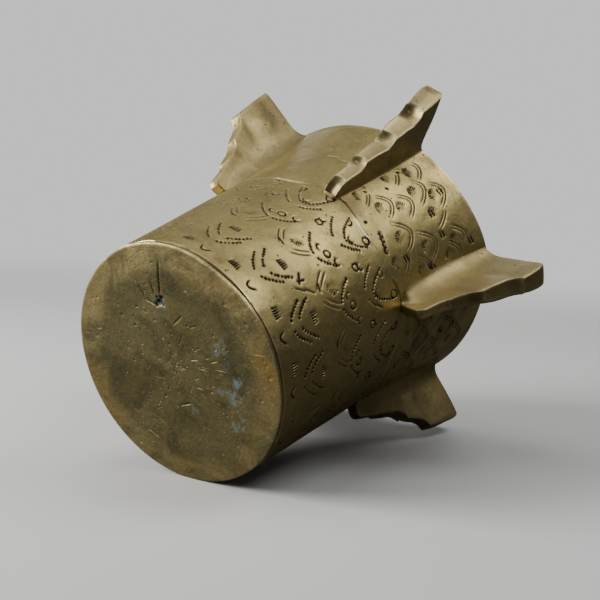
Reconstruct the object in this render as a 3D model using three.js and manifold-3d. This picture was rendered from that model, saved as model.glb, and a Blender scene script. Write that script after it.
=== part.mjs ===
// A heavy cast brass mortar with six scalloped buttress fins round its mouth.
// Millimetres, +Z up through the mouth, origin at the centre of the foot's underside,
// +X through the first fin.
import * as THREE from "three";
import { mergeVertices } from "three/addons/utils/BufferGeometryUtils.js";
import Module from "manifold-3d";

const wasm = await Module();
wasm.setup();

// Driving dimensions.
const HEIGHT = 133; // foot to rim
const FOOT_RADIUS = 45;
const FOOT_THICKNESS = 1.4; // at the edge, where its seam shows
const SEAM_HEIGHT = 71.5; // where the mouth collar is brazed on to the drum
const SEAM_RADIUS = 50.8;
const MOUTH_RADIUS = 60.6; // outside of the rim
const GAP = 0.3; // braze gap between touching pieces

// The hollow: a half-ellipsoid bowl that opens into a slightly flared bore.
const BOWL_BOTTOM = 20;
const BOWL_SPRING = 60; // height where the round bottom meets the bore
const BOWL_RADIUS = 41;
const BORE_RADIUS = 52; // inside of the mouth
const RIM_ROUND = 1.6;

// Joints between the stacked pieces.
const FOOT_DISH_DEPTH = 0.6;
const FOOT_DISH_RADIUS = 33;
const FOOT_BAND_INNER = 36;
const FOOT_EDGE = 0.5;
const REGISTER_RADIUS = 30; // raised boss that centres the foot plate in the drum
const REGISTER_HEIGHT = 3;
const RABBET_RADIUS = 46.6; // upstand on the drum that centres the collar
const RABBET_HEIGHT = 3.5;

// Fins.
const FIN_COUNT = 6;
const FIN_TIP_RADIUS = 88.6;
const FIN_TOP = 132.4;
const FIN_FOOT = 69;
const FIN_FOOT_RADIUS = 57.5;
const FIN_TEETH = 4;
const TOOTH_RISE = 0.3; // outward run of a tooth's face for each millimetre of height
const LEDGE_RISE = 1.5; // height of the ledge between two teeth
const FIN_TIP_ROUND = 3;
const FIN_WIDTH_TOP = 9;
const FIN_WIDTH_FOOT = 5.4;
const FIN_FLARE = 4; // extra half-width where the fin meets the collar
const OVERRUN = 1; // how far a rough shape runs past the face that trims it

const SEGMENTS = 96;

const brass = (color, roughness) => new THREE.MeshStandardMaterial({ color, roughness, metalness: 1 });

// The collar's outside flares in a shallow concave curve from the seam to the rim.
function collarRadius(z) {
  const t = (z - SEAM_HEIGHT) / (HEIGHT - SEAM_HEIGHT);
  return SEAM_RADIUS + (MOUTH_RADIUS - SEAM_RADIUS) * (0.55 * t + 0.45 * t * t);
}

function drumRadius(z) {
  return FOOT_RADIUS + (SEAM_RADIUS - FOOT_RADIUS) * (z / SEAM_HEIGHT);
}

function hollowRadius(z) {
  if (z < BOWL_SPRING) {
    const depth = (BOWL_SPRING - z) / (BOWL_SPRING - BOWL_BOTTOM);
    return BOWL_RADIUS * Math.sqrt(Math.max(0, 1 - depth * depth));
  }
  return BOWL_RADIUS + ((BORE_RADIUS - BOWL_RADIUS) * (z - BOWL_SPRING)) / (HEIGHT - BOWL_SPRING);
}

// count + 1 points of a wall, [radius(z), z], from one height to another.
function wall(radius, from, to, count) {
  const points = [];
  for (let i = 0; i <= count; i += 1) {
    const z = from + ((to - from) * i) / count;
    points.push([radius(z), z]);
  }
  return points;
}

// A turned solid: the profile runs anticlockwise in the (radius, height) plane.
function turned(profile) {
  const points = profile.map(([r, z]) => new THREE.Vector2(r, z));
  return new THREE.LatheGeometry(points, SEGMENTS).rotateX(Math.PI / 2);
}

function solid(geometry) {
  const bare = geometry.clone();
  bare.deleteAttribute("normal");
  bare.deleteAttribute("uv");
  const merged = mergeVertices(bare, 1e-4);
  const vertProperties = new Float32Array(merged.attributes.position.array);
  const triVerts = new Uint32Array(merged.index.array);
  return new wasm.Manifold(new wasm.Mesh({ numProp: 3, vertProperties, triVerts }));
}

function geometryOf(manifold) {
  const mesh = manifold.getMesh();
  const geometry = new THREE.BufferGeometry();
  geometry.setAttribute("position", new THREE.BufferAttribute(new Float32Array(mesh.vertProperties), 3));
  geometry.setIndex(new THREE.BufferAttribute(new Uint32Array(mesh.triVerts), 1));
  geometry.computeVertexNormals();
  return geometry;
}

// Foot plate: a disc with a raised boss, dished underneath inside a flat bearing band.
function footPlate() {
  const registerTop = FOOT_THICKNESS + REGISTER_HEIGHT;
  return turned([
    [0, FOOT_DISH_DEPTH],
    [FOOT_DISH_RADIUS, FOOT_DISH_DEPTH],
    [FOOT_BAND_INNER, 0],
    [FOOT_RADIUS - FOOT_EDGE, 0],
    [FOOT_RADIUS, FOOT_EDGE],
    [drumRadius(FOOT_THICKNESS), FOOT_THICKNESS],
    [REGISTER_RADIUS, FOOT_THICKNESS],
    [REGISTER_RADIUS, registerTop],
    [0, registerTop],
  ]);
}

// Body drum: the tapered lower half, with a thick floor and a round-bottomed bowl.
function bodyDrum() {
  const bottom = FOOT_THICKNESS + GAP;
  const rabbetTop = SEAM_HEIGHT + RABBET_HEIGHT;
  const bowl = [];
  const bowlSteps = 9;
  for (let i = 0; i <= bowlSteps; i += 1) {
    const angle = (Math.PI / 2) * (i / bowlSteps);
    const z = BOWL_SPRING - (BOWL_SPRING - BOWL_BOTTOM) * Math.sin(angle);
    bowl.push([i === bowlSteps ? 0 : BOWL_RADIUS * Math.cos(angle), z]);
  }
  return turned([
    [0, bottom + REGISTER_HEIGHT],
    [REGISTER_RADIUS + GAP, bottom + REGISTER_HEIGHT],
    [REGISTER_RADIUS + GAP, bottom],
    ...wall(drumRadius, bottom, SEAM_HEIGHT, 2),
    [RABBET_RADIUS, SEAM_HEIGHT],
    [RABBET_RADIUS, rabbetTop],
    [hollowRadius(rabbetTop), rabbetTop],
    ...bowl,
  ]);
}

// Mouth collar: the flared upper half, seated over the drum's upstand.
function mouthCollar() {
  const bottom = SEAM_HEIGHT + GAP;
  const shoulder = bottom + RABBET_HEIGHT;
  const rimWall = HEIGHT - RIM_ROUND;
  return turned([
    [RABBET_RADIUS + GAP, bottom],
    ...wall(collarRadius, bottom, rimWall, 7),
    [MOUTH_RADIUS - RIM_ROUND, HEIGHT],
    [BORE_RADIUS + RIM_ROUND, HEIGHT],
    ...wall(hollowRadius, rimWall, shoulder, 2),
    [RABBET_RADIUS + GAP, shoulder],
    [RABBET_RADIUS + GAP, bottom],
  ]);
}

// Side view of a fin, (radius, height): teeth with a ledge under each but the lowest.
function finOutline() {
  const shape = new THREE.Shape();
  const inner = SEAM_RADIUS - 4 * OVERRUN;
  const toothHeight = (FIN_TOP - FIN_FOOT) / FIN_TEETH;
  const faceRun = TOOTH_RISE * (toothHeight - LEDGE_RISE);
  const topRun = TOOTH_RISE * toothHeight;
  const ledgeRun = (FIN_TIP_RADIUS - FIN_FOOT_RADIUS - topRun - faceRun * (FIN_TEETH - 1)) / (FIN_TEETH - 1);
  shape.moveTo(inner, FIN_FOOT);
  let r = FIN_FOOT_RADIUS;
  let z = FIN_FOOT;
  shape.lineTo(r, z);
  for (let tooth = 1; tooth < FIN_TEETH; tooth += 1) {
    shape.lineTo(r + faceRun, z + toothHeight - LEDGE_RISE);
    r += faceRun + ledgeRun;
    z += toothHeight;
    shape.lineTo(r, z);
  }
  shape.lineTo(FIN_TIP_RADIUS, FIN_TOP - FIN_TIP_ROUND);
  shape.quadraticCurveTo(FIN_TIP_RADIUS, FIN_TOP, FIN_TIP_RADIUS - FIN_TIP_ROUND, FIN_TOP);
  shape.lineTo(inner, FIN_TOP);
  shape.closePath();
  return shape;
}

// Plan of a fin from the collar's face outwards: its half-width at each distance.
function finPlan() {
  const half = FIN_WIDTH_TOP / 2;
  const reach = FIN_TIP_RADIUS - SEAM_RADIUS;
  const edge = [
    [-3 * OVERRUN, half + FIN_FLARE],
    [0.8, half + FIN_FLARE],
    [2.4, half + FIN_FLARE * 0.45],
    [5.5, half + FIN_FLARE * 0.12],
    [9, half],
    [reach, half],
  ];
  const far = [...edge].reverse().map(([x, y]) => [x, -y]);
  return new THREE.Shape([...edge, ...far].map(([x, y]) => new THREE.Vector2(x, y)));
}

// One fin on +X: the plan lofted up the collar's flare, trimmed to the side outline.
function finSolid() {
  const rise = FIN_TOP - FIN_FOOT + 2 * OVERRUN;
  const loft = new THREE.ExtrudeGeometry(finPlan(), { depth: rise, steps: 7, bevelEnabled: false });
  const position = loft.attributes.position;
  for (let i = 0; i < position.count; i += 1) {
    const z = FIN_FOOT - OVERRUN + position.getZ(i);
    const t = (z - FIN_FOOT) / (FIN_TOP - FIN_FOOT);
    const width = THREE.MathUtils.lerp(FIN_WIDTH_FOOT, FIN_WIDTH_TOP, t) / FIN_WIDTH_TOP;
    const root = collarRadius(Math.max(z, SEAM_HEIGHT));
    position.setXYZ(i, root + position.getX(i), position.getY(i) * width, z);
  }
  const depth = 4 * FIN_WIDTH_TOP;
  const slab = new THREE.ExtrudeGeometry(finOutline(), { depth, bevelEnabled: false, curveSegments: 3 });
  slab.translate(0, 0, -depth / 2).rotateX(Math.PI / 2);
  return solid(loft).intersect(solid(slab));
}

// The vessel's outside grown by the braze gap, which trims the roots of the fins.
function vesselCutter() {
  const grown = (radius) => (z) => radius(z) + GAP;
  return solid(turned([
    [0, 0],
    ...wall(grown(drumRadius), 0, SEAM_HEIGHT, 2),
    ...wall(grown(collarRadius), SEAM_HEIGHT + GAP, HEIGHT - RIM_ROUND, 7),
    [MOUTH_RADIUS + GAP, HEIGHT + OVERRUN],
    [0, HEIGHT + OVERRUN],
  ]));
}

const vessel = new THREE.Group();

function addPiece(name, geometry, material) {
  const mesh = new THREE.Mesh(geometry, material);
  mesh.name = name;
  vessel.add(mesh);
  return mesh;
}

addPiece("foot_plate", footPlate(), brass(0x8a7c4c, 0.5));
addPiece("body_drum", bodyDrum(), brass(0xa8935c, 0.42));
addPiece("mouth_collar", mouthCollar(), brass(0xa08c58, 0.42));

const finGeometry = geometryOf(finSolid().subtract(vesselCutter()));
for (let i = 0; i < FIN_COUNT; i += 1) {
  const fin = addPiece(`fin_${i + 1}`, finGeometry, brass(0xb09c66, 0.38));
  fin.rotation.z = (2 * Math.PI * i) / FIN_COUNT;
}

export default vessel;
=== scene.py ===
import math

import bpy
import numpy as np
from mathutils import Matrix, Vector


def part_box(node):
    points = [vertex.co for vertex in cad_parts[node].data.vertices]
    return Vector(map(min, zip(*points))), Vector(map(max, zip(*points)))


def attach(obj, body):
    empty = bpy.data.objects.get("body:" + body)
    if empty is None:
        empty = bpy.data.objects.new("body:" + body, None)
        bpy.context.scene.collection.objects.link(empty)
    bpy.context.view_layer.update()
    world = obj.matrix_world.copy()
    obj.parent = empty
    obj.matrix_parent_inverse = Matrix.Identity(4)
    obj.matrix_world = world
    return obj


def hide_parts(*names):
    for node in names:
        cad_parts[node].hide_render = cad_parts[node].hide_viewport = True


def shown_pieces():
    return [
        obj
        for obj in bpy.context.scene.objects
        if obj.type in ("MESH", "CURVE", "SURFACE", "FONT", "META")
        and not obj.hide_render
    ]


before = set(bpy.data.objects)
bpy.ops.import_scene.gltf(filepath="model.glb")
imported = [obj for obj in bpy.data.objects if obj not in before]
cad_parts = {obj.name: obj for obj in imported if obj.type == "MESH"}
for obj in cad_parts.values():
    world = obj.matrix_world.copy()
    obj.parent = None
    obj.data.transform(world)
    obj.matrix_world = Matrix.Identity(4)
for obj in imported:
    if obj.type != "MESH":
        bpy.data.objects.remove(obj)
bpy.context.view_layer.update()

MM = 0.001


# ---- Camera and lights ---------------------------------------------------------------------
# The vessel lies on its side, on the edge of its foot and on the tips of two fins. The camera
# looks at the foot from just above the table, so its up is the table's up and not the mouth's.

table_up = Vector((0, -0.977, 0.215)).normalized()
eye = Vector((209.2, -121.4, -217.1)) * MM
aim = Vector((5.8, 0, 72.3)) * MM
camera_roll = math.radians(0.8)

toward_eye = (eye - aim).normalized()
camera_right = Matrix.Rotation(camera_roll, 3, toward_eye) @ table_up.cross(toward_eye).normalized()
camera_up = toward_eye.cross(camera_right)

lens = bpy.data.cameras.new("camera")
lens.lens = 55.1
lens.sensor_width = 36
camera = bpy.data.objects.new("camera", lens)
bpy.context.scene.collection.objects.link(camera)
camera_turn = Matrix((camera_right, camera_up, toward_eye)).transposed()
camera.matrix_world = Matrix.Translation(eye) @ camera_turn.to_4x4()
bpy.context.scene.camera = camera


def soft_light(name, right, up, toward, width, height, watts):
    """A softbox at a place along the camera's right, the table's up and towards the eye, in metres."""
    light = bpy.data.lights.new(name, "AREA")
    light.shape = "RECTANGLE"
    light.size = width
    light.size_y = height
    light.energy = watts
    across = table_up.cross(toward_eye).normalized()
    ahead = across.cross(table_up)
    place = aim + across * right + table_up * up + ahead * toward
    box = bpy.data.objects.new(name, light)
    bpy.context.scene.collection.objects.link(box)
    box.matrix_world = Matrix.Translation(place) @ (place - aim).to_track_quat("Z", "Y").to_matrix().to_4x4()


soft_light("overhead_softbox", 0.39, 0.54, 0.0, 0.36, 0.36, 1.52)
soft_light("second_softbox", -0.10, 0.62, -0.02, 0.34, 0.34, 0.95)
soft_light("left_fill", -0.80, 0.36, 0.12, 0.45, 0.45, 11.5)
soft_light("far_side_fill", 0.15, 0.22, -0.95, 0.6, 0.6, 3.2)


# ---- Studio surround -----------------------------------------------------------------------
# A pale surround and a plain pale floor under the resting vessel. The floor fades out at its
# edge, and it shows only from above, so that it never hides the vessel in another view.

def add_node(tree, kind, **settings):
    """A shader node with its settings."""
    node = tree.nodes.new("ShaderNode" + kind)
    for name, value in settings.items():
        setattr(node, name, value)
    return node


def plug(tree, value, socket):
    """Links an output to a socket, or sets the socket's own value."""
    if isinstance(value, bpy.types.NodeSocket):
        tree.links.new(value, socket)
    else:
        socket.default_value = value


surround = bpy.data.worlds.new("surround")
bpy.context.scene.world = surround
surround.use_nodes = True
sky = surround.node_tree
sky.nodes.clear()
sky_seen = add_node(sky, "Background")
sky_seen.inputs["Color"].default_value = (0.80, 0.80, 0.79, 1)
sky_lit = add_node(sky, "Background")
sky_lit.inputs["Color"].default_value = (0.046, 0.046, 0.046, 1)
sky_mix = add_node(sky, "MixShader")
seen = add_node(sky, "LightPath").outputs["Is Camera Ray"]
for output, socket in zip((seen, sky_lit.outputs[0], sky_seen.outputs[0]), sky_mix.inputs):
    plug(sky, output, socket)
plug(sky, sky_mix.outputs[0], add_node(sky, "OutputWorld").inputs["Surface"])


# ---- Body drum -----------------------------------------------------------------------------
# The tapered lower half: a thick brass casting, turned and filed outside, with a solid floor
# and a round-bottomed bowl. Its wall is punched all round while it is still bare of the fins.

foot_radius = 45 * MM
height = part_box("mouth_collar")[1].z - 0.02 * MM
plate_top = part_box("body_drum")[0].z
joint_gap = 0.3 * MM
seam_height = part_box("mouth_collar")[0].z - joint_gap
seam_radius = 50.8 * MM
rabbet_radius = 46.6 * MM
rabbet_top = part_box("body_drum")[1].z
bowl_bottom = 20 * MM
bowl_spring = 60 * MM
bowl_radius = 41 * MM
bore_radius = 52 * MM
fin_angles = np.radians([0, 58.9, 120, 180, 239.2, 299.2])


def smooth(value):
    """0 below 0, 1 above 1, smooth between."""
    t = np.clip(value, 0, 1)
    return t * t * (3 - 2 * t)


def turned_by(angle, centre):
    """How far an angle is round from a centre, from minus a half turn to a half turn."""
    return (angle - centre + np.pi) % (2 * np.pi) - np.pi


def round_about(angle, centre, spread):
    """1 at a centre in degrees, and falling away on both sides of it."""
    return np.exp(-(turned_by(angle, math.radians(centre)) / spread) ** 2)


def worn_flat(angle):
    """The foot's edge is worn flat on one side."""
    return 0.8 * MM * round_about(angle, -54, 0.3)


def drum_radius(z):
    return foot_radius + (seam_radius - foot_radius) * z / seam_height


def hollow_radius(z):
    depth = np.clip((bowl_spring - z) / (bowl_spring - bowl_bottom), 0, 1)
    bowl = bowl_radius * np.sqrt(1 - depth**2)
    bore = bowl_radius + (bore_radius - bowl_radius) * (z - bowl_spring) / (height - bowl_spring)
    return np.where(z < bowl_spring, bowl, bore)


def wall_points(radius, start, end, rows):
    """(radius, height) points up or down a wall."""
    return [(float(radius(z)), float(z)) for z in np.linspace(start, end, rows + 1)]


def turn_on_lathe(name, profile, steps):
    """A profile of (radius, height) points, extruded point by point and spun about the axis."""
    bpy.ops.object.select_all(action="DESELECT")
    bpy.ops.mesh.primitive_plane_add(size=foot_radius)
    piece = bpy.context.object
    piece.name = name
    piece.data.name = name
    bpy.context.tool_settings.mesh_select_mode = (True, False, False)
    bpy.ops.object.mode_set(mode="EDIT")
    bpy.ops.mesh.select_all(action="SELECT")
    bpy.ops.mesh.merge(type="CENTER")
    bpy.ops.transform.translate(value=(profile[0][0], 0, profile[0][1]))
    for (r, z), (next_r, next_z) in zip(profile, profile[1:]):
        bpy.ops.mesh.extrude_region_move(TRANSFORM_OT_translate={"value": (next_r - r, 0, next_z - z)})
    bpy.ops.mesh.select_all(action="SELECT")
    bpy.ops.mesh.spin(steps=steps, angle=2 * math.pi, center=(0, 0, 0), axis=(0, 0, 1))
    bpy.ops.mesh.select_all(action="SELECT")
    bpy.ops.mesh.remove_doubles(threshold=0.01 * MM)
    bpy.ops.mesh.normals_make_consistent(inside=False)
    bpy.ops.object.mode_set(mode="OBJECT")
    return piece


def select_only(piece):
    bpy.ops.object.select_all(action="DESELECT")
    piece.select_set(True)
    bpy.context.view_layer.objects.active = piece


def vertices_of(piece):
    """The piece's vertices as x, y and z arrays."""
    flat = np.empty(len(piece.data.vertices) * 3)
    piece.data.vertices.foreach_get("co", flat)
    return flat.reshape(-1, 3).T.copy()


def move_vertices(piece, x, y, z):
    piece.data.vertices.foreach_set("co", np.column_stack([x, y, z]).ravel())
    piece.data.update()


def face_centres(piece):
    flat = np.empty(len(piece.data.polygons) * 3)
    piece.data.polygons.foreach_get("center", flat)
    return flat.reshape(-1, 3).T


def split_faces(piece, chosen, cuts):
    """Cuts the chosen faces finer, where a mark needs them."""
    mesh = piece.data
    mesh.vertices.foreach_set("select", np.zeros(len(mesh.vertices), bool))
    mesh.edges.foreach_set("select", np.zeros(len(mesh.edges), bool))
    mesh.polygons.foreach_set("select", chosen)
    select_only(piece)
    bpy.context.tool_settings.mesh_select_mode = (False, False, True)
    bpy.ops.object.mode_set(mode="EDIT")
    bpy.ops.mesh.subdivide(number_cuts=cuts)
    bpy.ops.object.mode_set(mode="OBJECT")


def split_at_blows(piece, wall_radius, blows, margin):
    """Cuts a round wall finer where blows fall on it."""
    x, y, z = face_centres(piece)
    radius = np.hypot(x, y)
    near = near_a_blow(np.arctan2(y, x), z, radius, blows, margin)
    split_faces(piece, near & (radius > wall_radius(z) - 0.3 * MM), 2)


def set_mask(piece, name, values):
    """A value at each vertex, which the piece's material reads by name."""
    mask = piece.data.attributes.new(name, "FLOAT", "POINT")
    mask.data.foreach_set("value", np.asarray(values, np.float32))


def hand_waves(angle, z, depth, seed, around=(4, 26), along=(15, 130)):
    """The uneven surface left by casting and filing, as a sum of slow waves."""
    draw = np.random.default_rng(seed)
    total = np.zeros_like(z)
    for _ in range(16):
        turns = draw.integers(*around) * draw.choice((-1, 1))
        total += np.sin(turns * angle + draw.uniform(*along) * z + draw.uniform(0, 2 * np.pi))
    return total * depth / 4


class PunchWork:
    """Blows of hand punches on a round wall: angle in degrees, height, radius and depth in mm."""

    def __init__(self, wall_radius, seed):
        self.wall_radius = wall_radius
        self.blows = []
        self.draw = np.random.default_rng(seed)

    def hit(self, angle, z, across, up, size, depth, lean=0.0):
        """Blows at offsets across and up from a place, all turned by lean degrees."""
        c, s = math.cos(math.radians(lean)), math.sin(math.radians(lean))
        across, up = np.broadcast_arrays(np.asarray(across, float), np.asarray(up, float))
        x = across * c - up * s
        y = across * s + up * c
        z_at = z + y
        radius = self.wall_radius(z_at * MM) / MM
        rows = np.broadcast_arrays(angle + np.degrees(x / radius), z_at, size, depth)
        self.blows.append(np.column_stack([row.ravel() for row in rows]))

    def along(self, x, y, pitch):
        """Even steps along a line."""
        run = np.concatenate([[0], np.cumsum(np.hypot(np.diff(x), np.diff(y)))])
        stops = np.arange(0, run[-1], pitch)
        return np.interp(stops, run, x), np.interp(stops, run, y)

    def arc(self, half_width, rise):
        """A festoon, open upwards from its lowest point; a negative rise turns it over."""
        x = np.linspace(-half_width, half_width, 60)
        return x, rise * np.abs(x / half_width) ** 1.9

    def beads(self, angle, z, half_width, rise, gap=0.0, strength=1.0, lean=0.0):
        """A festoon of single round blows, with a gap at its lowest point."""
        x, y = self.along(*self.arc(half_width, rise), 1.36)
        keep = np.abs(x) >= gap
        x = x[keep] + self.draw.normal(0, 0.07, keep.sum())
        y = y[keep] + self.draw.normal(0, 0.07, keep.sum())
        size = self.draw.uniform(0.64, 0.84, len(x))
        depth = strength * self.draw.uniform(0.42, 0.66, len(x))
        self.hit(angle, z, x, y, size, depth, lean)

    def groove(self, angle, z, half_width, rise, strength=1.0, start=0.0, end=1.0, lean=0.0):
        """A graver's line along a festoon, from one share of it to another, fading at its ends."""
        x, y = self.along(*self.arc(half_width, rise), 0.3)
        share = np.linspace(0, 1, len(x))
        keep = (share >= start) & (share <= end)
        ends = np.minimum(share[keep] - start, end - share[keep]) / (end - start)
        depth = 0.22 * strength * (0.35 + 0.65 * smooth(ends / 0.2))
        self.hit(angle, z, x[keep], y[keep], 0.52, depth, lean)

    def stroke(self, angle, z, x0, y0, x1, y1, size=0.45, depth=0.25):
        """A straight cut."""
        x, y = self.along(np.array([x0, x1]), np.array([y0, y1]), 0.3)
        self.hit(angle, z, x, y, size, depth)

    def ring(self, angle, z, bite, strength=1.0, whole=0.4, radius=1.42):
        """A ring punch held off square, so that it bites deepest towards one side."""
        turn = np.linspace(0, 2 * np.pi, 34)
        pressed = (0.5 + 0.5 * np.cos(turn - math.radians(bite))) ** 1.5
        depth = strength * 0.42 * (whole + (1 - whole) * pressed)
        keep = depth > 0.09
        self.hit(angle, z, radius * np.cos(turn[keep]), radius * np.sin(turn[keep]), 0.5, depth[keep])

    def comb(self, angle, z, strength=1.0, lean=0.0):
        """Five short cuts side by side, deep at their foot and fading upwards."""
        for x in np.linspace(-1.9, 1.9, 5):
            top = 3.8 - 0.35 * abs(x)
            up = np.arange(0, top, 0.3)
            depth = strength * 0.45 * (1 - up / top) ** 0.8
            self.hit(angle, z, x * (1 - 0.06 * up), up, 0.44, depth, lean)

    def thumb(self, angle, z, bite=-60, strength=1.0, size=1.9):
        """A hatched thumbnail mark: short cuts fanned over part of a shallow hollow."""
        self.hit(angle, z, 0, 0, 1.1 * size, 0.1 * strength)
        for turn in np.radians(np.linspace(bite - 95, bite + 95, 9)):
            reach = np.arange(self.draw.uniform(0.25, 0.5) * size, size, 0.3)
            fade = 0.5 + 0.5 * math.cos(0.8 * (turn - math.radians(bite)))
            depth = fade * strength * self.draw.uniform(0.26, 0.5) * np.linspace(0.5, 1, len(reach))
            self.hit(angle, z, reach * np.cos(turn), reach * np.sin(turn), 0.36, depth)

    def all_blows(self):
        return np.concatenate(self.blows)


def round_each_blow(angle, z, radius, blows, reach_of):
    """For each blow: the places at its height, how far off they are, its size and its depth."""
    order = np.argsort(z)
    sorted_z = z[order]
    for blow_angle, blow_z, size, deep in blows:
        reach = reach_of(size * MM)
        first, last = np.searchsorted(sorted_z, (blow_z * MM - reach, blow_z * MM + reach))
        at = order[first:last]
        across = turned_by(angle[at], math.radians(blow_angle)) * radius[at]
        yield at, np.hypot(across, z[at] - blow_z * MM), size * MM, deep


def near_a_blow(angle, z, radius, blows, margin):
    """Which places on a wall lie within a margin of a blow."""
    found = np.zeros(len(z), bool)
    for at, far, size, _ in round_each_blow(angle, z, radius, blows, lambda size: size + margin):
        found[at[far < size + margin]] = True
    return found


def press(angle, z, radius, blows):
    """The depth pressed in at each place, and how dark the grime that stays there is."""
    full_grime_depth = 0.36
    depth = np.zeros_like(z)
    grime = np.zeros_like(z)
    for at, far, size, deep in round_each_blow(angle, z, radius, blows, lambda size: size * 1.5):
        cup = 1 - smooth((far / size - 0.25) / 0.8)
        depth[at] = np.maximum(depth[at], deep * MM * cup)
        grime[at] = np.maximum(grime[at], min(1, deep / full_grime_depth) * cup)
    return depth, grime


def between_fins(angle):
    """1 where the seam runs low between fins, 0 where it climbs beside them."""
    return smooth((-seam_rise(angle) + 1.5 * MM) / (2.5 * MM))


def seam_rise(angle):
    """How far the brazed seam is above its mean height: low between fins and high beside them."""
    beside = np.min([np.abs(turned_by(angle, fin)) for fin in fin_angles], axis=0)
    share = smooth((np.degrees(beside) - 5) / 17)
    return (3.2 - 4.6 * share) * MM * (1 - 0.6 * round_about(angle, -90, 0.45))


punches = PunchWork(drum_radius, seed=11)
repeats = 14
for k in range(repeats):
    middle = -45 + 360 / repeats * k
    off = punches.draw.uniform(-0.8, 0.8, 12)
    lean = punches.draw.uniform(-5, 5, 6)
    worn_side = math.exp(-(math.degrees(turned_by(math.radians(middle), math.radians(-112))) / 26) ** 2)
    low = 1 - 0.85 * worn_side
    high = 1 - 0.55 * worn_side

    # Lower band: a double beaded festoon, a comb inside it, and a comb and a tick below.
    punches.beads(middle + off[0], 12.8, 7.4, 6.8, gap=1.7, strength=low, lean=lean[0])
    punches.beads(middle + off[1], 16.9, 6.9, 7.0, gap=1.2, strength=low, lean=lean[0])
    punches.comb(middle + 1 + off[2], 23.4, strength=low, lean=lean[1])
    punches.comb(middle - 9 + off[3], 7.8, strength=low, lean=lean[2])
    punches.groove(middle + 1.5 + off[2], 5.6, 2.3, 2.8, strength=1.6 * low, start=0.08, lean=lean[1] - 12)

    # Middle band: a thumbnail in two graver's lines, under a single beaded festoon.
    punches.thumb(middle - 4.5 + off[4], 38.6, bite=-50, strength=low, size=2.6)
    for z, half_width, rise, stop, restart in ((30.6, 8.2, 8.6, 0.42, 0.6), (33.0, 6.6, 7.2, 0.4, 0.62)):
        for start, end in ((0.05, stop), (restart, 1)):
            punches.groove(middle - 4.5 + off[4], z, half_width, rise, strength=low, start=start, end=end)
    punches.stroke(middle - 8, 31.5, -1.4, 1.6, 1.4, 0.8, size=0.55, depth=0.3 * low)
    punches.beads(middle + 4.4 + off[5], 40.3, 8.0, 6.6, gap=0.9, strength=high, lean=lean[3])

    # Upper band: a double beaded festoon.
    punches.beads(middle + 4.6 + off[7], 54.4, 8.4, 8.0, gap=1.6, strength=high, lean=lean[4])
    punches.beads(middle + 5.4 + off[8], 59.0, 6.7, 9.4, strength=high, lean=lean[5])

    # The rings: how far round, height, the side that bit deepest, how whole the ring is.
    for across, z, bite, whole in (
        (6.4 + off[5], 45.8, -20, 0.6), (2.3 + off[5], 45.2, 225, 0.0), (-12.8 + off[6], 48.0, -100, 0.15),
        (6.8 + off[9], 61.6, -90, 0.1), (-0.2 + off[9], 67.0, 20, 0.1), (18.2 + off[10], 54.9, 180, 0.7),
        (-7.4 + off[11], 57.6, -70, 0.05),
    ):
        punches.ring(middle + across, z, bite=bite, strength=high, whole=whole)
    punches.ring(middle + 11 + off[10], 68.9, bite=0, strength=high, whole=0.65, radius=1.6)
# Four stray cuts beside the lowest band.
punches.stroke(-32, 22.5, 0, 0, 2.4, 3.6, size=0.5, depth=0.24)
punches.stroke(-29.5, 26.5, 0, 0, 2.6, 3.2, size=0.5, depth=0.24)
punches.stroke(-34.5, 26.5, -1.9, 1.2, 1.2, -1.2, size=0.7, depth=0.3)
punches.stroke(-34.5, 26.5, 0.9, 1.6, 0.2, -1.6, size=0.6, depth=0.3)
drum_blows = punches.all_blows()

socket_radius = 30.3 * MM
socket_top = plate_top + 3 * MM
lip_top = seam_height - 0.35 * MM
drum_profile = [
    (0, socket_top),
    (socket_radius, socket_top),
    (socket_radius, plate_top),
    (drum_radius(plate_top) - 0.16 * MM, plate_top),
    *wall_points(drum_radius, plate_top + 0.14 * MM, seam_height - 1.8 * MM, 69),
    *wall_points(drum_radius, seam_height - 1.5 * MM, lip_top, 6),
    (seam_radius - 0.6 * MM, seam_height),
    (rabbet_radius, seam_height),
    (rabbet_radius, rabbet_top),
    *wall_points(hollow_radius, rabbet_top, bowl_spring, 3),
]
for dip in np.linspace(0, math.pi / 2, 15)[1:]:
    bowl_z = bowl_spring - (bowl_spring - bowl_bottom) * math.sin(dip)
    drum_profile.append((bowl_radius * math.cos(dip), bowl_z))
drum_profile[-1] = (0, bowl_bottom)
body_drum = turn_on_lathe("drum", drum_profile, 300)
split_at_blows(body_drum, drum_radius, drum_blows, 0.4 * MM)
x, y, z = vertices_of(body_drum)
angle = np.arctan2(y, x)
radius = np.hypot(x, y)
on_wall = (radius > drum_radius(z) - 0.8 * MM) & (z > plate_top + 0.1 * MM) & (z < seam_height + 0.01 * MM)
depth, grime = press(angle, z, radius, drum_blows)
flat_side = worn_flat(angle) * smooth(1 - z / (30 * MM))
lip = 0.34 * MM * smooth((z - seam_height + 1.7 * MM) / (1.6 * MM)) * between_fins(angle)
waves = hand_waves(angle, z, 0.07 * MM, seed=3) + hand_waves(angle, z, 0.03 * MM, 4, (20, 60), (200, 500))
moved = radius + on_wall * (waves - flat_side + lip - depth)
lifted = z + seam_rise(angle) * smooth((z - 60 * MM) / (11 * MM)) * (radius > rabbet_radius - 1 * MM)
scale = np.where(radius > 1e-6, moved / np.maximum(radius, 1e-6), 1)
move_vertices(body_drum, x * scale, y * scale, lifted)
set_mask(body_drum, "grime", on_wall * grime)
lip_wear = smooth((z - seam_height + 1.2 * MM) / (0.5 * MM)) * between_fins(angle)
foot_wear = np.exp(-((z - plate_top) / (0.5 * MM)) ** 2) * 0.5
set_mask(body_drum, "wear", on_wall * np.maximum(lip_wear, foot_wear))


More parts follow.
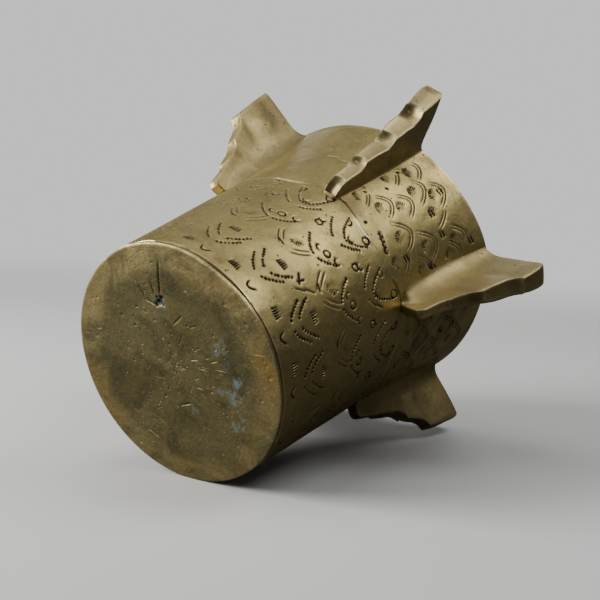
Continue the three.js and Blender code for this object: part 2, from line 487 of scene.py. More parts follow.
def maths(tree, operation, first, second=0.0, clamp=False):
    """One Math node; returns its output."""
    node = add_node(tree, "Math", operation=operation, use_clamp=clamp)
    plug(tree, first, node.inputs[0])
    plug(tree, second, node.inputs[1])
    return node.outputs[0]


def times(tree, first, second):
    return maths(tree, "MULTIPLY", first, second)


def add_shares(tree, total, shares, clamp=False):
    """Adds a share of each value to a first one; clamp holds the last sum between 0 and 1."""
    for number, (value, share) in enumerate(shares, 1):
        total = maths(tree, "ADD", total, times(tree, value, share), clamp and number == len(shares))
    return total


def step_up(tree, value, low, high, start=0.0, end=1.0):
    """start below low, end above high, and a smooth rise between them."""
    node = add_node(tree, "MapRange", interpolation_type="SMOOTHSTEP")
    plug(tree, value, node.inputs["Value"])
    for name, number in (("From Min", low), ("From Max", high), ("To Min", start), ("To Max", end)):
        node.inputs[name].default_value = number
    return node.outputs["Result"]


def new_material(name):
    material = bpy.data.materials.new(name)
    material.use_nodes = True
    material.node_tree.nodes.clear()
    return material, material.node_tree


def group_sockets(group, inputs, outputs):
    """Named sockets of a node group."""
    for kind, name in inputs:
        group.interface.new_socket(name, in_out="INPUT", socket_type="NodeSocket" + kind)
    for kind, name in outputs:
        group.interface.new_socket(name, in_out="OUTPUT", socket_type="NodeSocket" + kind)


def speckle(tree, place, scale, detail=4.0, roughness=0.55, distortion=0.0):
    """A noise pattern; returns its value."""
    node = add_node(tree, "TexNoise")
    plug(tree, place, node.inputs["Vector"])
    for name, number in (
        ("Scale", scale), ("Detail", detail), ("Roughness", roughness), ("Distortion", distortion)
    ):
        node.inputs[name].default_value = number
    return node.outputs["Fac"]


def mix_colours(tree, share, first, second, mode="MIX"):
    node = add_node(tree, "Mix", data_type="RGBA", blend_type=mode, clamp_factor=True)
    plug(tree, share, node.inputs[0])
    plug(tree, first, node.inputs[6])
    plug(tree, second, node.inputs[7])
    return node.outputs[2]


def squeezed(tree, place, scale, turn):
    """Coordinates turned and stretched, for scratches along one direction."""
    node = add_node(tree, "Mapping")
    plug(tree, place, node.inputs["Vector"])
    node.inputs["Rotation"].default_value = turn
    node.inputs["Scale"].default_value = scale
    return node.outputs["Vector"]


def build_old_brass():
    """Old cast brass: stained, pitted and scratched, with grime in its marks, painted shade where a mask
    asks for it, and bright worn edges.
    """
    group = bpy.data.node_groups.new("old_brass", "ShaderNodeTree")
    group_sockets(
        group,
        [("Vector", "Place"), ("Color", "Bright"), ("Color", "Dull"), ("Color", "Brown"),
         ("Float", "Staining"), ("Float", "GrimeAndShade"), ("Float", "Wear"), ("Float", "Polish")],
        [("Color", "Color"), ("Float", "Roughness"), ("Float", "Metallic"), ("Float", "Height")],
    )
    given = group.nodes.new("NodeGroupInput").outputs
    result = group.nodes.new("NodeGroupOutput").inputs
    place = given["Place"]

    broad = step_up(group, speckle(group, place, 30, 5, 0.6, 0.4), 0.36, 0.66)
    cloudy = step_up(group, speckle(group, place, 95, 6, 0.65, 0.3), 0.38, 0.68)
    stain = step_up(group, speckle(group, place, 60, 8, 0.7, 0.6), 0.51, 0.70)
    grain = speckle(group, place, 900, 3, 0.6)
    pores = step_up(group, speckle(group, place, 620, 2, 0.5), 0.68, 0.76)
    scratches = 0.0
    for turn, stretch in (
        ((0.4, 0.2, 0.9), (45, 1000, 1500)),
        ((0.3, 0.7, -0.5), (1400, 55, 1000)),
        ((0.9, -0.3, 2.1), (1500, 60, 1100)),
    ):
        lines = step_up(group, speckle(group, squeezed(group, place, stretch, turn), 1, 2, 0.5), 0.67, 0.75)
        scratches = maths(group, "MAXIMUM", scratches, lines)
    scratches = times(group, scratches, step_up(group, speckle(group, place, 70, 3), 0.46, 0.62))

    metal = mix_colours(group, broad, given["Bright"], given["Dull"])
    metal = mix_colours(group, times(group, cloudy, 0.45), metal, given["Dull"])
    stained = times(group, stain, given["Staining"])
    metal = mix_colours(group, stained, metal, given["Brown"])
    shade = step_up(group, grain, 0.3, 0.7, 0.88, 1.08)
    shaded = add_node(group, "VectorMath", operation="SCALE")
    plug(group, metal, shaded.inputs[0])
    plug(group, shade, shaded.inputs["Scale"])
    metal = mix_colours(group, times(group, scratches, 0.16), shaded.outputs[0], given["Bright"])
    metal = mix_colours(group, given["Wear"], metal, (0.86, 0.74, 0.46, 1))
    # Dark mix: real grime in marks and pores, and through the fins' grime mask painted shade under their
    # ledges.
    grime_and_shade = step_up(group, given["GrimeAndShade"], 0.12, 0.75)
    dirt_and_shade = maths(group, "MAXIMUM", grime_and_shade, times(group, pores, 0.75))
    metal = mix_colours(group, dirt_and_shade, metal, (0.018, 0.014, 0.010, 1))
    plug(group, metal, result["Color"])

    roughening = ((broad, 0.12), (grain, 0.12), (given["Wear"], -0.12), (dirt_and_shade, 0.35))
    plug(group, add_shares(group, given["Polish"], roughening, clamp=True), result["Roughness"])
    metallic = add_shares(group, 1.0, ((dirt_and_shade, -0.8), (stained, -0.3)), clamp=True)
    plug(group, metallic, result["Metallic"])
    relief = ((grain, 0.14), (cloudy, 0.5), (pores, -0.6), (scratches, -0.25))
    plug(group, add_shares(group, 0.0, relief), result["Height"])
    return group


old_brass = build_old_brass()


def brass_material(name, bright, dull, brown, staining, polish, relief):
    """Old brass with its own tones, read from the piece's grime and wear masks; on the fins the grime mask
    holds painted shade.
    """
    material, tree = new_material(name)
    metal = tree.nodes.new("ShaderNodeGroup")
    metal.node_tree = old_brass
    plug(tree, add_node(tree, "TexCoord").outputs["Object"], metal.inputs["Place"])
    for socket, value in (("Bright", bright), ("Dull", dull), ("Brown", brown)):
        metal.inputs[socket].default_value = (*value, 1)
    metal.inputs["Staining"].default_value = staining
    metal.inputs["Polish"].default_value = polish
    # The grime mask holds dirt in marks and pits, and on the fins painted shade under the ledges.
    for socket, mask in (("GrimeAndShade", "grime"), ("Wear", "wear")):
        plug(tree, add_node(tree, "Attribute", attribute_name=mask).outputs["Fac"], metal.inputs[socket])
    bump = add_node(tree, "Bump")
    bump.inputs["Strength"].default_value = 1
    bump.inputs["Distance"].default_value = relief
    plug(tree, metal.outputs["Height"], bump.inputs["Height"])
    surface = add_node(tree, "BsdfPrincipled")
    for output, socket in (("Color", "Base Color"), ("Roughness", "Roughness"), ("Metallic", "Metallic")):
        plug(tree, metal.outputs[output], surface.inputs[socket])
    plug(tree, bump.outputs["Normal"], surface.inputs["Normal"])
    plug(tree, surface.outputs[0], add_node(tree, "OutputMaterial").inputs["Surface"])
    return material


def finish_piece(piece, material, node, sharp=35):
    """Smooth shading, the material, the root body, and hiding the CAD node that the piece stands for."""
    select_only(piece)
    bpy.ops.object.shade_smooth_by_angle(angle=math.radians(sharp))
    piece.data.materials.clear()
    piece.data.materials.append(material)
    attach(piece, "root")
    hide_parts(node)


body_brass = brass_material(
    "body_brass", (0.62, 0.495, 0.20), (0.41, 0.335, 0.14), (0.22, 0.155, 0.065), 0.65, 0.38, 0.13 * MM)
finish_piece(body_drum, body_brass, "body_drum")


# ---- Mouth collar --------------------------------------------------------------------------
# The flared upper half, cast apart and brazed over the drum's upstand. Between the fins it is
# covered with fish scales: two graver's lines over a hatched thumbnail mark.

mouth_radius = 60.6 * MM
rim_round = 1.6 * MM
collar_bottom = seam_height + joint_gap
collar_shoulder = collar_bottom + 3.5 * MM


def collar_radius(z):
    t = (z - seam_height) / (height - seam_height)
    return seam_radius + (mouth_radius - seam_radius) * (0.55 * t + 0.45 * t * t)


def mouth_flare(angle, z):
    """The casting is out of round: the mouth spreads beside the first fin."""
    return 2.2 * MM * round_about(angle, -6, 0.32) * smooth((z / MM - 104) / 28)


def scale_mark(work, middle, z, strength=1.0, lines=(0.0, 1.0), bite=-110, lean=0.0):
    """One fish scale: a thumbnail mark under a double arch."""
    start, end = lines
    work.groove(middle, z + 7.6, 7.4, -8.6, strength, start, end, lean)
    work.groove(middle, z + 6.0, 6.0, -7.2, strength * 0.9, start, end, lean)
    work.thumb(middle, z, bite=bite, strength=1.15 * strength, size=2.8)


scales = PunchWork(collar_radius, seed=23)
# The panel between the last fin and the first: for each scale its angle, its height in mm, and
# the share of its arches where the graver's lines start and stop.
best_panel = [
    (-54, 81.5, 0.60, 0.95), (-54, 103.5, 0.55, 0.90), (-50.5, 115.5, 0.35, 0.90),
    (-43.5, 87.5, 0.12, 0.90), (-39, 97.5, 0.12, 0.90), (-42, 109, 0.30, 1.00),
    (-36.5, 117.5, 0.15, 0.95), (-30, 111.5, 0.55, 1.00), (-28, 87, 0.05, 0.95),
    (-19, 98.5, 0.00, 0.95), (-16, 116, 0.12, 0.60), (-11, 110.5, 0.15, 0.60),
    (-10.5, 91.5, 0.10, 0.55), (-19.5, 79, 0.50, 0.85),
]
for middle, z, start, end in best_panel:
    scale_mark(scales, middle, z, strength=1.0, lines=(start, end), bite=scales.draw.uniform(-170, -100))
for middle, z in ((-36, 121), (-13, 123.5), (-20.5, 109.5), (-30, 109.5), (-11, 96.5), (-19, 84)):
    scales.stroke(middle, z, -1.3, 1.6, 1.3, 2.0, size=0.6, depth=0.4)
    scales.stroke(middle, z, -1.3, 0, 1.2, 0.2, size=0.55, depth=0.34)
for middle in (-33.4, -31.2, -28.8, -26.2):
    scales.thumb(middle, 78.6 - 0.3 * (middle + 32), bite=-90, strength=1.2, size=1.5)
for middle, z in ((-55, 112.5), (-53, 111), (-55, 125), (-49.5, 98.5), (-41.5, 75.5),
                  (-56, 89), (-53.5, 87)):
    scales.hit(middle, z, (0, 0.3), (0, 0.6), 0.75, 0.4)
for _ in range(26):
    middle, z = scales.draw.normal(-4.2, 1.2), scales.draw.normal(122.3, 2.4)
    scales.hit(middle, z, 0, 0, scales.draw.uniform(0.4, 0.9), scales.draw.uniform(0.3, 0.6))
for middle, z in ((-10.5, 100), (-11, 97), (-9.5, 98.5)):
    scales.hit(middle, z, (0, 0.8, 1.4), (0, 0.5, 0.9), 0.8, 0.38)
# The panel beside it is nearly plain, with a few stray cuts.
for _ in range(9):
    middle, z = scales.draw.uniform(-108, -69), scales.draw.uniform(75, 122)
    length = scales.draw.uniform(0.6, 2.2)
    scales.stroke(middle, z, -length, scales.draw.uniform(-0.5, 0.5), length, 0, size=0.5,
                  depth=scales.draw.uniform(0.16, 0.32))
# The other four panels: rows of scales, each row set between the scales of the row below.
for panel in (30, 90, 150, 210):
    for row in range(5):
        for column in range(3 - row % 2):
            middle = panel - 19 + 9.5 * (row % 2) + 19 * column + scales.draw.uniform(-1, 1)
            scale_mark(scales, middle, 79.5 + 9.2 * row + scales.draw.uniform(-0.8, 0.8),
                       strength=scales.draw.uniform(0.7, 1.05), lines=(0.0, scales.draw.uniform(0.7, 1)),
                       bite=scales.draw.uniform(-150, -30), lean=scales.draw.uniform(-6, 6))
            scales.stroke(middle, 87 + 9.2 * row, -1.2, 0, 1.2, 0.3, size=0.5, depth=0.3)
collar_blows = scales.all_blows()


def rim_corner(radius, side, turn):
    """A point of the rounded rim; side is 1 for the outer edge and -1 for the bore's edge."""
    along = 1 - math.cos(turn) if side > 0 else 1 - math.sin(turn)
    down = 1 - math.sin(turn) if side > 0 else 1 - math.cos(turn)
    return radius - side * rim_round * along, height - rim_round * down


rim_turn = np.linspace(0, math.pi / 2, 5)
collar_profile = [
    (rabbet_radius + joint_gap, collar_bottom),
    (collar_radius(collar_bottom) - 0.4 * MM, collar_bottom),
    *wall_points(collar_radius, collar_bottom + 0.5 * MM, height - rim_round, 66),
    *[rim_corner(mouth_radius, 1, turn) for turn in rim_turn[1:]],
    *[rim_corner(bore_radius, -1, turn) for turn in rim_turn],
    *wall_points(hollow_radius, height - 2 * rim_round, collar_shoulder, 14),
    (rabbet_radius + joint_gap, collar_shoulder),
    (rabbet_radius + joint_gap, collar_bottom),
]
mouth_collar = turn_on_lathe("collar", collar_profile, 360)
split_at_blows(mouth_collar, collar_radius, collar_blows, 0.25 * MM)
x, y, z = vertices_of(mouth_collar)
angle = np.arctan2(y, x)
radius = np.hypot(x, y)
on_wall = (radius > collar_radius(z) - 0.8 * MM) & (z < height - 0.3 * MM)
depth, grime = press(angle, z, radius, collar_blows)
step_in = 0.55 * MM * np.exp(-((z - collar_bottom) / (3 * MM)) ** 2) * between_fins(angle)
waves = hand_waves(angle, z, 0.08 * MM, seed=5) + hand_waves(angle, z, 0.03 * MM, 6, (20, 60), (200, 500))
fade_at_rim = smooth((height - z) / (4 * MM))
flare = mouth_flare(angle, z) * (radius > hollow_radius(z) - 0.5 * MM)
moved = radius + flare + on_wall * (waves * fade_at_rim - step_in - depth)
lifted = z + seam_rise(angle) * smooth((92 * MM - z) / (18 * MM)) * (radius > rabbet_radius - 1 * MM)
move_vertices(mouth_collar, x * moved / radius, y * moved / radius, lifted)
set_mask(mouth_collar, "grime", on_wall * grime)
rim_wear = 0.55 * smooth((z - height + 2.2 * MM) / (1.6 * MM)) * (radius > bore_radius + 0.5 * rim_round)
set_mask(mouth_collar, "wear", rim_wear)
finish_piece(mouth_collar, body_brass, "mouth_collar")


# ---- Foot plate ----------------------------------------------------------------------------
# The disc that closes the foot. It is dished inside a flat band that has rubbed bright on
# tables, and carries casting pits, knife scratches and blue-green corrosion.

band_inner = 36 * MM
dish_depth = 0.6 * MM
plate_thickness = plate_top - joint_gap
boss_radius = 30 * MM
boss_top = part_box("foot_plate")[1].z
plate_profile = [(0, dish_depth)]
for r in np.linspace(0, foot_radius - 0.36 * MM, 76)[1:]:
    plate_profile.append((r, dish_depth * float(smooth((band_inner - r) / (12 * MM)))))
plate_profile += [
    (foot_radius - 0.1 * MM, 0.1 * MM),
    (foot_radius, 0.36 * MM),
    (foot_radius, plate_thickness),
    (boss_radius, plate_thickness),
    (boss_radius, boss_top),
    (0, boss_top),
]


class FlatScars:
    """Scars on the foot: places, sizes and depths in mm, pressed upwards."""

    def __init__(self, seed):
        self.marks = []
        self.draw = np.random.default_rng(seed)

    def pit(self, x, y, size, depth):
        self.marks.append((x, y, size, depth))

    def scratch(self, x0, y0, x1, y1, size=0.35, depth=0.2):
        """A line of pits close together, fading at its ends."""
        count = int(math.hypot(x1 - x0, y1 - y0) / 0.25) + 2
        for share in np.linspace(0, 1, count):
            fade = min(1, 4 * share + 0.3, 4 * (1 - share) + 0.3)
            self.pit(x0 + (x1 - x0) * share, y0 + (y1 - y0) * share, size, depth * fade)


scars = FlatScars(seed=31)
for pit in ((-2.5, -23.5, 1.8, 0.85), (-1.5, -25, 1.2, 0.7), (-4, -22.5, 1.3, 0.45),
            (-3.5, -25, 0.9, 0.5), (-1, -22.5, 0.9, 0.4)):
    scars.pit(*pit)
for scratch in (
    (-2, -25.5, 0.5, -39.5, 0.45, 0.32), (-11, -29.5, -9, -24.5, 0.45, 0.26),
    (-5, -31.5, -4.5, -25.5, 0.4, 0.26), (-9, -24, -4, -22, 0.5, 0.24), (2, -15.5, 6.5, -19, 0.5, 0.2),
    (-26, 18.5, -22, 21.5), (-18.5, 27.5, -13, 30.5), (-0.5, 15.5, 4.5, 14, 0.4, 0.25),
):
    scars.scratch(*scratch)
for _ in range(60):
    x, y = scars.draw.normal(6, 13), scars.draw.normal(-2, 14)
    turn, length = scars.draw.uniform(0, math.pi), scars.draw.uniform(0.8, 3.6)
    end_x, end_y = x + length * math.cos(turn), y + length * math.sin(turn)
    scars.scratch(x, y, end_x, end_y, 0.3, scars.draw.uniform(0.07, 0.18))
for _ in range(80):
    turn, reach = scars.draw.uniform(0, 2 * math.pi), 43 * math.sqrt(scars.draw.uniform(0, 1))
    size, deep = scars.draw.uniform(0.3, 0.7), scars.draw.uniform(0.08, 0.3)
    scars.pit(reach * math.cos(turn), reach * math.sin(turn), size, deep)
chips = []
for _ in range(14):
    chips.append((scars.draw.normal(8, 11), scars.draw.normal(-2, 14), scars.draw.uniform(0.3, 0.6)))
    scars.pit(*chips[-1], 0.16)
plate_marks = [mark for mark in scars.marks if math.hypot(mark[0], mark[1]) < 43.6]

foot_plate = turn_on_lathe("foot", plate_profile, 300)
x, y, z = face_centres(foot_plate)
near = np.zeros(len(x), bool)
for mark_x, mark_y, size, _ in plate_marks:
    near |= np.hypot(x - mark_x * MM, y - mark_y * MM) < (size + 0.35) * MM
underneath = (z < dish_depth + 0.05 * MM) & (np.hypot(x, y) < foot_radius - 0.6 * MM)
split_faces(foot_plate, near & underneath & (np.hypot(x, y) > 8 * MM), 1)

x, y, z = vertices_of(foot_plate)
angle = np.arctan2(y, x)
radius = np.hypot(x, y)
underneath = z < dish_depth + 0.05 * MM
depth = np.zeros_like(z)
grime = np.zeros_like(z)
for mark_x, mark_y, size, deep in plate_marks:
    far = np.hypot(x - mark_x * MM, y - mark_y * MM) / (size * MM)
    cup = 1 - smooth((far - 0.2) / 0.9)
    depth = np.maximum(depth, deep * MM * cup)
    grime = np.maximum(grime, min(1, deep / 0.4) * cup)
uneven = hand_waves(angle, radius, 0.05 * MM, seed=8, around=(1, 7), along=(60, 260))
uneven = np.maximum(uneven + 0.05 * MM, 0) * smooth((foot_radius - radius) / (8 * MM))
flat_side = worn_flat(angle) * smooth((radius - 28 * MM) / (17 * MM))
scale = np.where(radius > 1e-6, (radius - flat_side) / np.maximum(radius, 1e-6), 1)
move_vertices(foot_plate, x * scale, y * scale, z + underneath * (uneven + depth))


def patch(x, y, size, ragged):
    """A ragged patch round a place on the foot, in mm."""
    far = np.hypot(vertex_x - x * MM, vertex_y - y * MM) / (size * MM)
    return smooth((1.25 - far - ragged) / 0.6)


vertex_x, vertex_y, _ = vertices_of(foot_plate)
ragged = hand_waves(angle, radius, 0.8, seed=9, around=(5, 40), along=(300, 1500))
corrosion = np.zeros_like(z)
for spot_x, spot_y, size, strength in (
    (21, -9, 3.0, 0.6), (23.5, -3, 1.6, 0.45), (26.5, 3, 2.4, 0.9), (23.5, 8, 3.0, 0.8),
    (19, 7, 2.0, 0.5), (24.5, 19.5, 2.6, 0.6), (5, 17, 2.0, 0.45), (27.5, 16, 1.6, 0.4),
    (-2.5, -24, 2.2, 0.6),
):
    corrosion = np.maximum(corrosion, strength * patch(spot_x, spot_y, size, ragged * 0.5))
rusty = np.zeros_like(z)
for spot_x, spot_y, size in ((27, -28, 5), (21, -32, 4.5), (12, -36, 4), (33, -20, 3)):
    rusty = np.maximum(rusty, patch(spot_x, spot_y, size, ragged * 0.6))
set_mask(foot_plate, "corrosion", corrosion * underneath)
set_mask(foot_plate, "rust", rusty * underneath)
set_mask(foot_plate, "rubbed", smooth((radius - 33 * MM) / (6 * MM)) * underneath)
edge_wear = np.exp(-((radius - foot_radius + 0.1 * MM) / (0.3 * MM)) ** 2) * (z < 0.4 * MM)
chipped = np.zeros_like(z)
for chip_x, chip_y, size in chips:
    chipped = np.maximum(chipped, patch(chip_x, chip_y, 0.8 * size, 0))
    grime = grime * (1 - patch(chip_x, chip_y, size, 0))
set_mask(foot_plate, "grime", np.where(underneath, grime, 0))
set_mask(foot_plate, "wear", np.maximum(edge_wear * 0.25, 0.9 * chipped * underneath))

foot_brass = brass_material(
    "foot_brass", (0.42, 0.345, 0.16), (0.21, 0.19, 0.088), (0.11, 0.08, 0.035), 0.9, 0.42, 0.2 * MM)
tree = foot_brass.node_tree
surface = next(node for node in tree.nodes if node.type == "BSDF_PRINCIPLED")
metal = next(node for node in tree.nodes if node.type == "GROUP")
masks = {}
for name in ("corrosion", "rust", "rubbed"):
    masks[name] = add_node(tree, "Attribute", attribute_name=name).outputs["Fac"]
place = add_node(tree, "TexCoord").outputs["Object"]
flecks = step_up(tree, speckle(tree, place, 480, 6, 0.72), 0.44, 0.57)
tone = mix_colours(tree, masks["rubbed"], metal.outputs["Color"], (1.62, 1.54, 1.46, 1), "MULTIPLY")
smoky = step_up(tree, speckle(tree, place, 62, 7, 0.68, 0.8), 0.46, 0.6)
tone = mix_colours(tree, times(tree, smoky, 0.42), tone, (0.105, 0.10, 0.052, 1))
golden = step_up(tree, speckle(tree, place, 38, 6, 0.62, 0.5), 0.5, 0.66)
golden = times(tree, golden, add_shares(tree, 0.14, [(masks["rubbed"], 0.40)]))
tone = mix_colours(tree, golden, tone, (0.50, 0.33, 0.10, 1))
rust_share = times(tree, times(tree, masks["rust"], flecks), 0.3)
tone = mix_colours(tree, rust_share, tone, (0.30, 0.13, 0.04, 1))
green_share = times(tree, masks["corrosion"], add_shares(tree, 0.1, [(flecks, 0.8)]))
tone = mix_colours(tree, green_share, tone, (0.135, 0.235, 0.28, 1))
plug(tree, tone, surface.inputs["Base Color"])
still_metal = maths(tree, "SUBTRACT", metal.outputs["Metallic"], green_share, clamp=True)
plug(tree, still_metal, surface.inputs["Metallic"])
finish_piece(foot_plate, foot_brass, "foot_plate")


# ---- Fins ----------------------------------------------------------------------------------
# Six buttress fins, each cast in its own sand mould and filed by hand, so no two match. Three or
# four gouged ledges scallop the outer edge, and a thick fillet of braze holds the root.

row_step = 0.42 * MM
seam_at_fins = 72.2  # mm; above it a fin is brazed to the collar, below it stands clear of the drum

# Each fin, in mm: its foot (radius, height), its crests (radius, height, ledge), its tip and its
# top, the widths of its outer edge at the tip and the foot, its fillets, how its gouge cuts bow
# and lean, and how far the end of its foot rises towards the wall.
fin_shapes = {
    "fin_1": dict(foot=(61.4, 69.4), crests=((66.9, 83, 1.2), (75.4, 96, 2.6), (85.2, 113, 3.4)),
                  tip=(88.1, 124), top=131.8, tip_round=5.0, widths=(9.2, 3.0), bow=0.6,
                  fillets=(5.4, 4.2), leans=(0.3, -0.3, 0.35, -0.2), slant=5.0),
    "fin_2": dict(foot=(55.8, 68.0), crests=((60.6, 80, 0.6), (70.0, 96.0, 3.2), (80.3, 107.5, 3.6)),
                  tip=(84.4, 123), top=129.0, tip_round=3.5, widths=(8.6, 5.0), bow=0.8,
                  fillets=(4.2, 4.4), leans=(-0.3, 0.3, -0.4, 0.2), slant=2.6),
    "fin_3": dict(foot=(57.2, 68.4), crests=((63.8, 82, 2.0), (72.6, 95.4, 3.4), (82.0, 109.8, 3.8)),
                  tip=(86.4, 125), top=131.6, tip_round=4.0, widths=(9.0, 5.0), bow=1.4,
                  fillets=(4.8, 4.2), leans=(0.3, -0.2, 0.5, -0.4), slant=2.0),
    "fin_4": dict(foot=(58.4, 69.0), crests=((65.2, 83, 1.8), (74.6, 97.6, 3.6), (83.4, 112, 3.8)),
                  tip=(87.4, 126), top=132.2, tip_round=4.0, widths=(8.8, 5.0), bow=1.2,
                  fillets=(4.4, 5.0), leans=(-0.4, 0.4, -0.3, 0.3), slant=3.0),
    "fin_5": dict(foot=(56.4, 67.6), crests=((62.6, 81, 1.6), (70.2, 92.8, 3.0), (80.6, 105.6, 3.6)),
                  tip=(86.2, 129), top=132.4, tip_round=2.0, widths=(9.0, 4.8), bow=1.2,
                  fillets=(4.4, 5.8), leans=(0.2, -0.3, 0.3, -0.2), slant=2.4),
    "fin_6": dict(foot=(52.8, 71.0),
                  crests=((57.4, 75.6, 0.3), (62.8, 88.6, 2.8), (69.8, 106.4, 3.4), (79.2, 121.2, 4.6)),
                  tip=(86.2, 132), top=132.8, tip_round=1.4, widths=(9.8, 5.2), bow=1.9,
                  fillets=(4.6, 1.8), leans=(0.0, -0.2, 0.25, -0.25, 0.2), slant=0.4),
}


def edge_radius(z, shape):
    """How far out the scalloped edge is at each height, all in mm."""
    (foot_r, foot_z), (tip_r, tip_z) = shape["foot"], shape["tip"]
    stops = [(foot_r, foot_z, 0), *shape["crests"], (tip_r, tip_z, 0)]
    edge = np.full_like(z, foot_r)
    for (r0, z0, _), (r1, z1, ledge) in zip(stops, stops[1:]):
        share = np.clip((z - z0) / (z1 - z0), 0, 1)
        scoop = ledge * np.clip(1 - (z1 - z) / 5.2, 0, 1) ** 2.3
        face = r0 + (r1 - ledge - r0) * share + 0.35 * np.sin(np.pi * share)
        edge = np.where((z >= z0) & (z <= z1), face + scoop, edge)
    edge = np.where(z > tip_z, tip_r, edge)
    rounding = np.clip(1 - (shape["top"] - z) / shape["tip_round"], 0, 1)
    foot_facet = 0.7 * np.clip(foot_z + 2.2 - z, 0, 2.2)
    return edge - shape["tip_round"] * (1 - np.sqrt(1 - rounding**2)) - foot_facet


def wall_at(z, turn):
    """The wall that a fin is brazed to, in mm; its lower end stands a little clear of the drum."""
    overhang = max(0.0, seam_at_fins - z)
    flare = float(mouth_flare(turn, z * MM)) / MM
    return float(collar_radius(max(z, seam_at_fins) * MM)) / MM + flare + 0.1 * overhang


def fin_ring(shape, z, turn):
    """One level section of a fin: (out, across) points in mm, round a fin on the X axis."""
    wide_tip, wide_foot = shape["widths"]
    share = (z - shape["foot"][1]) / (shape["top"] - shape["foot"][1])
    to_end = min(z - shape["foot"][1], shape["top"] - z)
    shrink = 0.9 * (1 - math.sqrt(1 - (1 - min(to_end / 0.9, 1)) ** 2))
    tip_shrink = 3.0 * (1 - math.sqrt(1 - (1 - min((shape["top"] - z) / 3.8, 1)) ** 2))
    wall = wall_at(z, turn)
    half = (wide_foot + (wide_tip - wide_foot) * share**0.9) / 2
    edge = float(edge_radius(np.array([z]), shape)[0]) - shrink
    reach = edge - wall
    corner = min(0.9, half * 0.4)
    outer_half = half - max(shrink, tip_shrink)

    def side_points(fillet):
        """Down one side, from the outer face's corner to the wall."""
        fillet = fillet * min(1, reach / 15) * float(smooth((z - 68) / 12))
        fillet_reach = min(1.6 * fillet + 0.3, reach * 0.6)
        side = []
        for turn in np.linspace(0, math.pi / 2, 4)[1:]:
            side.append((edge - corner * (1 - math.cos(turn)), outer_half - corner * (1 - math.sin(turn))))
        inner_half = half - shrink + 0.02 * (reach - fillet_reach)
        for inward in np.linspace(0, 1, 12)[1:]:
            out = edge - corner + (wall + fillet_reach - edge + corner) * inward
            side.append((out, outer_half + (inner_half - outer_half) * inward**0.6))
        for turn in np.linspace(0, math.pi / 2, 10)[1:]:
            across = inner_half + fillet * (1 - math.cos(turn))
            level_wall = math.sqrt(wall**2 - across**2) - 0.12
            blend = math.sin(turn)
            side.append(((wall + fillet_reach) * (1 - blend) + level_wall * blend, across))
        widest = inner_half + fillet
        side.append((math.sqrt(wall**2 - widest**2) - (0.9 if z > seam_at_fins else 0.1), widest - 0.3))
        return side

    low_side, high_side = (side_points(fillet) for fillet in shape["fillets"])
    face = [(edge, across * (outer_half - corner)) for across in np.linspace(-1, 1, 11)]
    inner_low, inner_high = -low_side[-1][1], high_side[-1][1]
    inner = min(low_side[-1][0], high_side[-1][0])
    root = [(inner, inner_high + (inner_low - inner_high) * share) for share in (0.2, 0.4, 0.6, 0.8)]
    return face + high_side + root + [(out, -across) for out, across in reversed(low_side)]


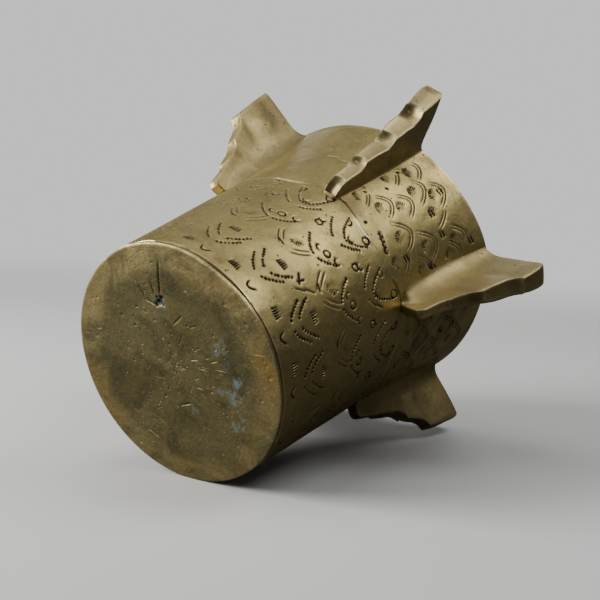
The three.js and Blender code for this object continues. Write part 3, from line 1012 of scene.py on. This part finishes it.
def build_fin(name, number):
    """A fin drawn as a stack of level sections, each extruded from the one below it."""
    shape = fin_shapes[name]
    bottom, top = shape["foot"][1], shape["top"]
    rows = int((top - bottom) * MM / row_step)
    levels = list(np.linspace(bottom, top, rows + 1))
    levels[1:1] = [bottom + 0.12, bottom + 0.3]
    levels[-1:-1] = [top - 0.3, top - 0.12]
    turn = fin_angles[number]
    count = len(fin_ring(shape, bottom, turn))

    bpy.ops.object.select_all(action="DESELECT")
    bpy.ops.mesh.primitive_circle_add(vertices=count, radius=10 * MM, fill_type="NGON")
    piece = bpy.context.object
    piece.name = name.replace("fin", "buttress")
    piece.data.name = piece.name
    bpy.context.tool_settings.mesh_select_mode = (False, False, True)
    bpy.ops.object.mode_set(mode="EDIT")
    bpy.ops.mesh.select_all(action="SELECT")
    for _ in levels[1:]:
        bpy.ops.mesh.extrude_region_move(TRANSFORM_OT_translate={"value": (0, 0, row_step)})
    bpy.ops.object.mode_set(mode="OBJECT")

    x, y, z = vertices_of(piece)
    level = np.rint(z / row_step).astype(int)
    station = np.rint(np.arctan2(y, x) / (2 * np.pi) * count).astype(int) % count
    sections = np.array([fin_ring(shape, height_at, turn) for height_at in levels])
    out, across = sections[level, station].T * MM
    up = np.array(levels)[level] * MM

    # Each tooth was cut with a round gouge, so its ledge bows towards the tip and leans a little.
    half = (shape["widths"][1] + (shape["widths"][0] - shape["widths"][1]) * level / len(levels)) / 2 * MM
    share = np.clip(across / half, -1, 1)
    wall = np.array([wall_at(height_at, turn) for height_at in levels])[level] * MM
    nominal = edge_radius(up / MM, shape) * MM
    at_edge = smooth((out - nominal + 2.2 * MM) / (2.0 * MM)) * (out > wall + 1 * MM)
    crests = np.array([crest[1] for crest in shape["crests"]])
    tooth = np.searchsorted(crests, up / MM)
    lean = np.array(shape["leans"])[tooth]
    bow = shape["bow"] * (1 - share**2) - 1.6 * lean * share
    gouged = edge_radius(np.clip(up / MM - bow, bottom, top), shape) * MM
    keep = smooth((top - up / MM - 0.5) / 2)
    out = out + at_edge * keep * (gouged - nominal)
    skew = lean * across * 0.12
    out = out + at_edge * skew
    # The flanks swell between the ledges and are uneven from the file.
    nearest = np.min(np.abs(up[:, None] / MM - crests), axis=1)
    outer = smooth((out - wall - 3 * MM) / (14 * MM))
    side = np.sign(across) * (np.abs(across) > 0.2 * half)
    swell = 0.35 * MM * (smooth(nearest / 5) - 0.6)
    rough = hand_waves(across / half * 0.6, up, 0.22 * MM, 40 + number, (1, 4), (80, 420))
    across = across + outer * side * (swell + rough)
    across = across + outer * 0.4 * MM * np.sin(up * 70 + number * 2.1)
    # The end of the foot is filed off at a slant.
    inward = 1 - np.clip((out - wall) / (shape["foot"][0] * MM - wall), 0, 1)
    up = up + shape["slant"] * MM * inward * (1 - smooth((up / MM - bottom) / 11))

    x = out * math.cos(turn) - across * math.sin(turn)
    y = out * math.sin(turn) + across * math.cos(turn)
    move_vertices(piece, x, y, up)
    select_only(piece)
    bpy.ops.object.mode_set(mode="EDIT")
    bpy.ops.mesh.select_all(action="SELECT")
    bpy.ops.mesh.normals_make_consistent(inside=False)
    bpy.ops.object.mode_set(mode="OBJECT")

    corner = np.exp(-((np.abs(across) - half + 0.4 * MM) / (0.7 * MM)) ** 2) * at_edge
    above_crest = np.min(np.abs((up / MM - bow)[:, None] - crests - 0.1), axis=1)
    crest_line = np.exp(-(above_crest / 0.5) ** 2) * at_edge
    set_mask(piece, "wear", np.maximum(0.26 * corner, 0.42 * crest_line))
    # Painted shade: the outer edge is darkened just under each ledge, through the grime mask.
    shade_below_crest = np.min(np.abs((up / MM - bow)[:, None] - crests + 2.2), axis=1)
    set_mask(piece, "grime", 0.14 * np.exp(-(shade_below_crest / 1.2) ** 2) * at_edge)
    return piece


fin_brass = brass_material(
    "fin_brass", (0.53, 0.43, 0.205), (0.38, 0.305, 0.135), (0.22, 0.155, 0.065), 0.6, 0.44, 0.16 * MM)
for number, name in enumerate(fin_shapes):
    fin = build_fin(name, number)
    finish_piece(fin, fin_brass, name, sharp=40)


# ---- Floor ---------------------------------------------------------------------------------
# A plain pale disc for the table that the vessel lies on, tilted so that it touches the edge of
# the foot and the lowest fin's tip.

resting = np.concatenate([np.column_stack(vertices_of(o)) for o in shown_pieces()])
foot_points = resting[resting[:, 2] < 2 * MM]
tip_points = resting[resting[:, 2] > 100 * MM]
low, high = 0.0, 0.6
for _ in range(40):
    lean = (low + high) / 2
    down = np.array((0, math.cos(lean), -math.sin(lean)))
    if (tip_points @ down).max() > (foot_points @ down).max():
        low = lean
    else:
        high = lean
floor_down = Vector(down)
floor_drop = float((resting @ down).max())

bpy.ops.object.select_all(action="DESELECT")
bpy.ops.mesh.primitive_circle_add(vertices=96, radius=1.1, fill_type="NGON")
floor = bpy.context.object
floor.name = "floor"
middle = Vector((0, 0, 66 * MM))
touch = middle + floor_down * (floor_drop - middle.dot(floor_down))
floor.data.transform(Matrix.Translation(touch) @ (-floor_down).to_track_quat("Z", "Y").to_matrix().to_4x4())

paper, tree = new_material("pale_floor")
matt = add_node(tree, "BsdfDiffuse")
floor_tone = mix_colours(
    tree, add_node(tree, "LightPath").outputs["Is Camera Ray"], (0.10, 0.10, 0.10, 1), (0.72, 0.72, 0.71, 1))
plug(tree, floor_tone, matt.inputs["Color"])
clear = add_node(tree, "BsdfTransparent")
spread = add_node(tree, "VectorMath", operation="DISTANCE")
plug(tree, add_node(tree, "TexCoord").outputs["Object"], spread.inputs[0])
spread.inputs[1].default_value = touch
fade = step_up(tree, spread.outputs["Value"], 0.35, 1.05)
hidden = maths(tree, "MAXIMUM", fade, add_node(tree, "NewGeometry").outputs["Backfacing"])
blend = add_node(tree, "MixShader")
for output, socket in zip((hidden, matt.outputs[0], clear.outputs[0]), blend.inputs):
    plug(tree, output, socket)
plug(tree, blend.outputs[0], add_node(tree, "OutputMaterial").inputs["Surface"])
floor.data.materials.append(paper)
